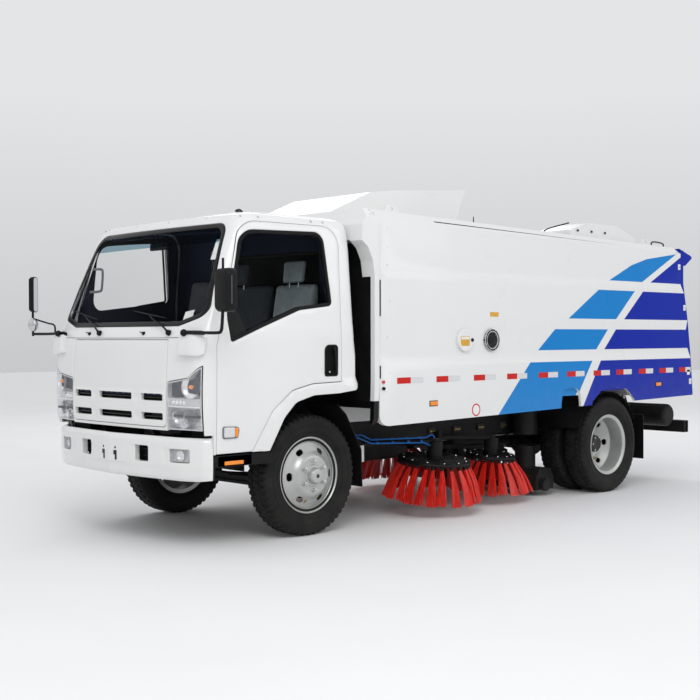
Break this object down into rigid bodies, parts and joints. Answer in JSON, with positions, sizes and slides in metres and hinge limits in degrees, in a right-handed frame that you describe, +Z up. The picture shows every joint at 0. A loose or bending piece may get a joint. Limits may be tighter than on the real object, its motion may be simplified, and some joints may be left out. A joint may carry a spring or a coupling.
{
  "type": "street sweeper truck",
  "caption": "Cab-over street sweeper truck with tilting cab, tipping debris hopper, swing-out side brushes and a lifting suction mouth.",
  "frame": {"origin": "on the ground, under the middle of the outline box", "axes": "+X forward, +Y to the driver's left, +Z up"},
  "size_m": [6.607, 2.6598, 2.89],
  "materials": {
    "black_steel": "satin",
    "engine_iron": "rough cast",
    "black_plastic": "textured",
    "white_paint": "gloss",
    "white_body_paint": "gloss",
    "blue_paint": "gloss",
    "lamp_plastic": "clear lens",
    "glass": "tinted",
    "seat_fabric": "woven",
    "tyre_rubber": "matt rubber",
    "rim_steel": "silver paint",
    "red_bristle": "extruded bristle",
    "blue_hose": "smooth nylon",
    "bright_rod": "ground"
  },
  "bodies": {
    "chassis": {"frame_rails": "black_steel", "cross_members": "black_steel", "front_axle": "black_steel", "leaf_springs": "black_steel", "rear_axle": "black_steel", "propeller_shaft": "black_steel", "engine_block": "engine_iron", "front_bumper": "white_paint", "chassis_lamps": "lamp_plastic", "mudguards": "black_plastic", "fuel_tank": "black_steel", "air_tanks": "black_steel", "under_tanks": "black_steel", "silencer": "black_steel", "rear_underrun": "black_steel", "engine_housing": "white_paint", "housing_screen": "black_steel", "auxiliary_engine": "engine_iron", "suction_tubes": "black_steel"},
    "cab": {"cab_shell": "white_paint", "cab_glass": "glass", "headlamps": "lamp_plastic", "dashboard": "black_plastic", "seats": "seat_fabric", "mirrors": "black_plastic", "wheel_housings": "black_plastic"},
    "left_door": {"left_door": "white_paint", "left_door_glass": "glass"},
    "right_door": {"right_door": "white_paint", "right_door_glass": "glass"},
    "front_lid": {"front_lid": "white_paint"},
    "steering_wheel": {"steering_wheel": "black_plastic"},
    "left_knuckle": {"left_knuckle": "black_steel"},
    "right_knuckle": {"right_knuckle": "black_steel"},
    "tie_rod": {"tie_rod": "black_steel"},
    "left_front_wheel": {"left_front_tyre": "tyre_rubber", "left_front_rim": "rim_steel"},
    "right_front_wheel": {"right_front_tyre": "tyre_rubber", "right_front_rim": "rim_steel"},
    "left_rear_wheels": {"left_rear_tyres": "tyre_rubber", "left_rear_rims": "rim_steel"},
    "right_rear_wheels": {"right_rear_tyres": "tyre_rubber", "right_rear_rims": "rim_steel"},
    "hopper": {"hopper_shell": "white_body_paint", "hopper_fittings": "white_body_paint"},
    "rear_door": {"rear_door": "blue_paint"},
    "hoist_barrels": {"hoist_barrels": "black_steel"},
    "hoist_rods": {"hoist_rods": "bright_rod"},
    "left_front_arm": {"left_front_arm": "black_steel", "left_front_hoses": "blue_hose"},
    "right_front_arm": {"right_front_arm": "black_steel", "right_front_hoses": "blue_hose"},
    "left_rear_arm": {"left_rear_arm": "black_steel"},
    "right_rear_arm": {"right_rear_arm": "black_steel"},
    "left_front_brush": {"left_front_brush": "red_bristle"},
    "right_front_brush": {"right_front_brush": "red_bristle"},
    "left_rear_brush": {"left_rear_brush": "red_bristle"},
    "right_rear_brush": {"right_rear_brush": "red_bristle"},
    "suction_mouth": {"suction_mouth": "black_steel"}
  },
  "joints": [
    {"name": "cab_tilt", "type": "hinge", "parent": "chassis", "child": "cab", "pos_m": [3.15, 0, 0.868], "axis": [0, 1, 0], "range_deg": [0, 45]},
    {"name": "left_door_hinge", "type": "hinge", "parent": "cab", "child": "left_door", "pos_m": [3.04, 1.014, 1.3], "axis": [0, 0, -1], "range_deg": [0, 66]},
    {"name": "right_door_hinge", "type": "hinge", "parent": "cab", "child": "right_door", "pos_m": [3.04, -1.014, 1.3], "axis": [0, 0, 1], "range_deg": [0, 66]},
    {"name": "front_lid_hinge", "type": "hinge", "parent": "cab", "child": "front_lid", "pos_m": [3.229, 0, 1.514], "axis": [0, -1, 0], "range_deg": [0, 60]},
    {"name": "left_steer", "type": "hinge", "parent": "chassis", "child": "left_knuckle", "pos_m": [2.1, 0.69, 0.466], "axis": [0, 0, 1], "range_deg": [-32, 32]},
    {"name": "right_steer", "type": "hinge", "parent": "chassis", "child": "right_knuckle", "pos_m": [2.1, -0.69, 0.466], "axis": [0, 0, 1], "range_deg": [-32, 32]},
    {"name": "tie_rod_swing", "type": "hinge", "parent": "left_knuckle", "child": "tie_rod", "pos_m": [1.91, 0.69, 0.39], "axis": [0, 0, 1], "range_deg": [-32, 32]},
    {"name": "steering_wheel_turn", "type": "hinge", "parent": "cab", "child": "steering_wheel", "pos_m": [2.62, 0.45, 1.57], "axis": [-0.6, 0, 0.8], "range_deg": [-576, 576]},
    {"name": "left_front_wheel_spin", "type": "hinge", "parent": "left_knuckle", "child": "left_front_wheel", "pos_m": [2.1, 0.84, 0.466], "axis": [0, 1, 0], "continuous": true},
    {"name": "right_front_wheel_spin", "type": "hinge", "parent": "right_knuckle", "child": "right_front_wheel", "pos_m": [2.1, -0.84, 0.466], "axis": [0, 1, 0], "continuous": true},
    {"name": "left_rear_wheels_spin", "type": "hinge", "parent": "chassis", "child": "left_rear_wheels", "pos_m": [-1.715, 0.825, 0.466], "axis": [0, 1, 0], "continuous": true},
    {"name": "right_rear_wheels_spin", "type": "hinge", "parent": "chassis", "child": "right_rear_wheels", "pos_m": [-1.715, -0.825, 0.466], "axis": [0, 1, 0], "continuous": true},
    {"name": "hopper_tilt", "type": "hinge", "parent": "chassis", "child": "hopper", "pos_m": [-2.96, 0, 0.868], "axis": [0, -1, 0], "range_deg": [0, 45]},
    {"name": "rear_door_hinge", "type": "hinge", "parent": "hopper", "child": "rear_door", "pos_m": [-3.046, 0, 2.492], "axis": [0, 1, 0], "range_deg": [0, 80]},
    {"name": "hoist_barrel_swing", "type": "hinge", "parent": "chassis", "child": "hoist_barrels", "pos_m": [-1.18, 0, 0.7], "axis": [0, -1, 0], "range_deg": [0, 70.66]},
    {"name": "hoist_rod_slide", "type": "slide", "parent": "hoist_barrels", "child": "hoist_rods", "axis": [0.9909, 0, 0.1345], "range_m": [0, 1.0508]},
    {"name": "left_front_arm_swing", "type": "hinge", "parent": "chassis", "child": "left_front_arm", "pos_m": [1.18, 0.47, 0.6], "axis": [0, 0, -1], "range_deg": [-3, 18]},
    {"name": "right_front_arm_swing", "type": "hinge", "parent": "chassis", "child": "right_front_arm", "pos_m": [1.18, -0.47, 0.6], "axis": [0, 0, 1], "range_deg": [-3, 18]},
    {"name": "left_rear_arm_swing", "type": "hinge", "parent": "chassis", "child": "left_rear_arm", "pos_m": [0.11, 0.47, 0.6], "axis": [0, 0, -1], "range_deg": [-1.5, 9]},
    {"name": "right_rear_arm_swing", "type": "hinge", "parent": "chassis", "child": "right_rear_arm", "pos_m": [0.11, -0.47, 0.6], "axis": [0, 0, 1], "range_deg": [-1.5, 9]},
    {"name": "left_front_brush_spin", "type": "hinge", "parent": "left_front_arm", "child": "left_front_brush", "pos_m": [0.52, 0.79, 0.465], "axis": [0, 0.1045, 0.9945], "continuous": true},
    {"name": "right_front_brush_spin", "type": "hinge", "parent": "right_front_arm", "child": "right_front_brush", "pos_m": [0.52, -0.79, 0.465], "axis": [0, -0.1045, 0.9945], "continuous": true},
    {"name": "left_rear_brush_spin", "type": "hinge", "parent": "left_rear_arm", "child": "left_rear_brush", "pos_m": [-0.42, 0.64, 0.43], "axis": [0, 0.1045, 0.9945], "continuous": true},
    {"name": "right_rear_brush_spin", "type": "hinge", "parent": "right_rear_arm", "child": "right_rear_brush", "pos_m": [-0.42, -0.64, 0.43], "axis": [0, -0.1045, 0.9945], "continuous": true},
    {"name": "suction_mouth_lift", "type": "hinge", "parent": "chassis", "child": "suction_mouth", "pos_m": [0.33, 0, 0.54], "axis": [0, 1, 0], "range_deg": [0, 5]}
  ],
  "couplings": [
    {"joint": "right_steer", "follows": "left_steer", "ratio": 1},
    {"joint": "tie_rod_swing", "follows": "left_steer", "ratio": -1},
    {"joint": "steering_wheel_turn", "follows": "left_steer", "ratio": 18},
    {"joint": "hoist_barrel_swing", "follows": "hopper_tilt", "ratio": 1.569},
    {"joint": "hoist_rod_slide", "follows": "hopper_tilt", "m_per_rad": 1.3367},
    {"joint": "left_rear_arm_swing", "follows": "left_front_arm_swing", "ratio": 0.5},
    {"joint": "right_rear_arm_swing", "follows": "right_front_arm_swing", "ratio": 0.5}
  ]
}
